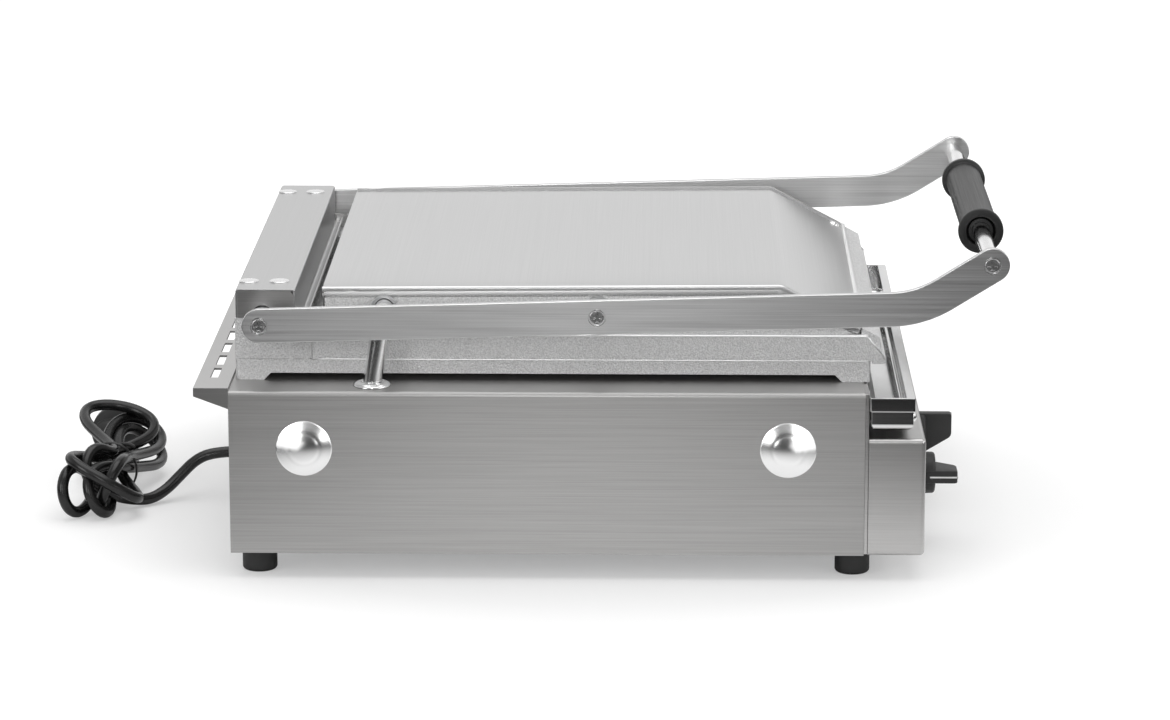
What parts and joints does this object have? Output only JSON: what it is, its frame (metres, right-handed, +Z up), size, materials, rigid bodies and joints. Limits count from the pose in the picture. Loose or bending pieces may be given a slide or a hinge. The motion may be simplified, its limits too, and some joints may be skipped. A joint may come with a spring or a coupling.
{
  "type": "panini press",
  "caption": "Clamshell electric grill with a floating heated upper plate on two lift arms, round handle, rotary controls, front grease tray and mains cord.",
  "frame": {"origin": "on the bench plane under the middle of the machine's box, cord left out", "axes": "+X across the machine, -Y towards the handle and the controls, +Z up"},
  "size_m": [0.437, 0.6587, 0.2309],
  "materials": {
    "brushed_panel": "horizontally brushed stainless sheet",
    "brushed_cover": "fine brushed stainless sheet",
    "cast_plate": "sand-textured cast aluminium",
    "bar_steel": "brushed flat bar",
    "polished": "polished",
    "zinc_steel": "zinc plated",
    "black_plastic": "fine matt moulding",
    "black_rubber": "matt rubber",
    "cord_black": "satin cord sheath",
    "black_paint": "black paint",
    "bronze": "plain bearing bronze",
    "insulation": "needled mineral wool",
    "brass_pins": "nickel free brass",
    "tie_wire": "coated wire",
    "cream_plastic": "moulded ceramic-filled plastic"
  },
  "bodies": {
    "base": {"body_shell": "brushed_panel", "base_plate": "zinc_steel", "rear_panel": "brushed_panel", "front_panel": "black_paint", "control_box": "brushed_panel", "rubber_feet": "black_rubber", "foot_screws": "zinc_steel", "dome_caps": "polished", "rear_vent_guard": "brushed_panel", "vent_guard_screws": "polished", "timer_unit": "cream_plastic", "thermostat_unit": "cream_plastic", "switch_housing": "black_plastic", "terminal_block": "cream_plastic", "tray_rails": "black_paint", "lower_platen": "cast_plate", "left_hinge_tower": "cast_plate", "right_hinge_tower": "cast_plate", "hinge_bushes": "bronze", "hinge_channel": "brushed_cover", "channel_rivets": "polished", "lower_heating_element": "zinc_steel", "lower_insulation": "insulation", "lower_heat_shield": "zinc_steel", "thermostat_bulb": "polished", "conduit_gland": "polished", "conduit_lower": "polished", "strain_relief": "black_rubber", "cord_lead": "cord_black", "cord_hank": "cord_black", "cord_tie": "tie_wire", "plug": "black_rubber"},
    "lid_arms": {"left_arm": "bar_steel", "right_arm": "bar_steel", "arm_screws": "polished", "hinge_shaft": "zinc_steel", "handle_rod": "polished", "float_pins": "zinc_steel", "shaft_collars": "zinc_steel", "counterbalance_springs": "zinc_steel", "grip_collars": "polished", "conduit_clip": "zinc_steel", "conduit_upper": "polished"},
    "upper_plate": {"upper_platen": "cast_plate", "float_bushes": "bronze", "top_cover": "brushed_cover", "cover_screws": "polished", "upper_heating_element": "zinc_steel", "upper_insulation": "insulation", "conduit_inlet": "polished"},
    "grip": {"handle_grip": "black_plastic"},
    "timer": {"timer_knob": "black_plastic", "timer_spindle": "zinc_steel"},
    "thermostat": {"thermostat_knob": "black_plastic", "thermostat_spindle": "zinc_steel"},
    "power_switch": {"switch_rocker": "black_plastic"},
    "tray": {"grease_tray": "brushed_panel", "tray_studs": "polished"}
  },
  "joints": [
    {"name": "lid_lift", "type": "hinge", "parent": "base", "child": "lid_arms", "pos_m": [0, 0.2287, 0.1724], "axis": [-1, 0, 0], "range_deg": [0, 65], "deforming": ["conduit_lower"]},
    {"name": "plate_float", "type": "hinge", "parent": "lid_arms", "child": "upper_plate", "pos_m": [0, 0.0041, 0.1792], "axis": [-1, 0, 0], "range_deg": [-10, 0], "deforming": ["conduit_upper"]},
    {"name": "grip_spin", "type": "hinge", "parent": "lid_arms", "child": "grip", "pos_m": [0, -0.2572, 0.2154], "axis": [1, 0, 0], "continuous": true},
    {"name": "timer_turn", "type": "hinge", "parent": "base", "child": "timer", "pos_m": [-0.115, -0.2152, 0.05], "axis": [0, 1, 0], "range_deg": [0, 300]},
    {"name": "thermostat_turn", "type": "hinge", "parent": "base", "child": "thermostat", "pos_m": [0, -0.2152, 0.05], "axis": [0, 1, 0], "range_deg": [0, 270]},
    {"name": "switch_rock", "type": "hinge", "parent": "base", "child": "power_switch", "pos_m": [-0.155, -0.2135, 0.0395], "axis": [0, 0, 1], "range_deg": [0, 14]},
    {"name": "tray_slide", "type": "slide", "parent": "base", "child": "tray", "axis": [0, -1, 0], "range_m": [0, 0.1]}
  ],
  "couplings": [
    {"joint": "plate_float", "follows": "lid_lift", "ratio": -0.12}
  ]
}
